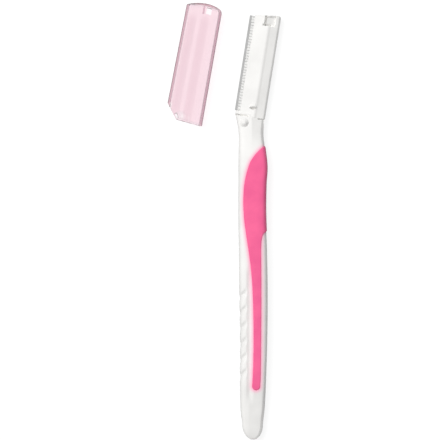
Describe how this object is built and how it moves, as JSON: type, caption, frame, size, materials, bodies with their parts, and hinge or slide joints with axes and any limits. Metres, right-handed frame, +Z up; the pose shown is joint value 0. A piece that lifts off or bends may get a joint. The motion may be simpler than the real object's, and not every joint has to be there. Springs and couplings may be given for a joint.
{
  "type": "eyebrow razor",
  "caption": "Slim eyebrow razor with a tilted head, guarded straight blade, moulded handle with a soft inlaid grip, and a clear push-on cap lying beside the blade.",
  "frame": {"origin": "on the flat back of the soft grip, on the axis of the handle, about the middle of the part of the grip that wraps round the spine edge; the razor lies on this plane", "axes": "+Y along the handle from the tail to the blade head, +X across from the blade's side to the spine's side, +Z up from the back to the front face"},
  "size_m": [0.0401, 0.1545, 0.0071],
  "materials": {
    "white_abs": "moulded, soft gloss",
    "pink_elastomer": "moulded, satin",
    "comb_plastic": "moulded, soft gloss",
    "blade_steel": "ground and honed",
    "clear_pink_plastic": "polished, clear pink"
  },
  "bodies": {
    "razor": {"handle_body": "white_abs", "soft_grip": "pink_elastomer", "blade_holder": "white_abs", "blade_cover": "white_abs", "blade": "blade_steel", "guard_comb_front": "comb_plastic", "guard_comb_back": "comb_plastic"},
    "cap": {"blade_cap": "clear_pink_plastic"}
  },
  "joints": [
    {"name": "cap_slide", "type": "slide", "parent": "razor", "child": "cap", "axis": [0.1822, 0.9833, 0], "range_m": [0, 0.042]}
  ]
}
